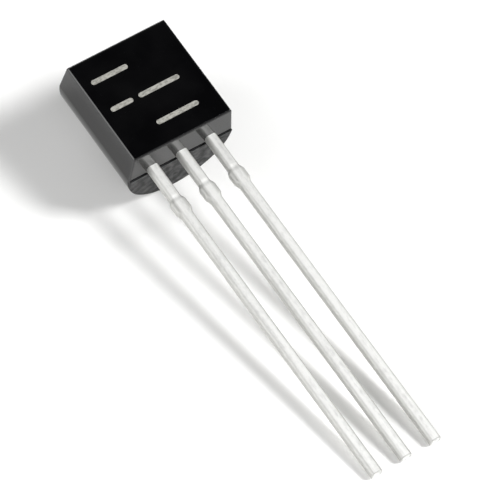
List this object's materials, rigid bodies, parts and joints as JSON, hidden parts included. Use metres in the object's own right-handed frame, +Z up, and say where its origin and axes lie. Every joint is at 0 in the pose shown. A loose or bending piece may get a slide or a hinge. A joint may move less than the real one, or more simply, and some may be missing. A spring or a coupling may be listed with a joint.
{
  "type": "through-hole transistor",
  "caption": "Small plastic-moulded transistor with a flat marked face, a round back and a row of long straight tinned leads, lying flat side up.",
  "frame": {"origin": "centre of the bottom of the box, on the surface that the part lies on", "axes": "+X across the body, from the source lead to the drain lead; the leads run towards -Y, tipped down to the surface; +Z up, the way the flat face looks"},
  "size_m": [0.0044, 0.019, 0.0041],
  "materials": {
    "mould_compound": "black epoxy mould compound, fine satin",
    "tinned_lead": "tin plate over copper alloy, satin",
    "die_attach": "dull solder",
    "silicon": "polished silicon",
    "bond_wire": "drawn gold wire"
  },
  "bodies": {
    "root": {"body": "mould_compound", "source_lead": "tinned_lead", "gate_lead": "tinned_lead", "drain_lead": "tinned_lead", "die_attach": "die_attach", "die": "silicon", "source_wire": "bond_wire", "gate_wire": "bond_wire"}
  },
  "joints": []
}
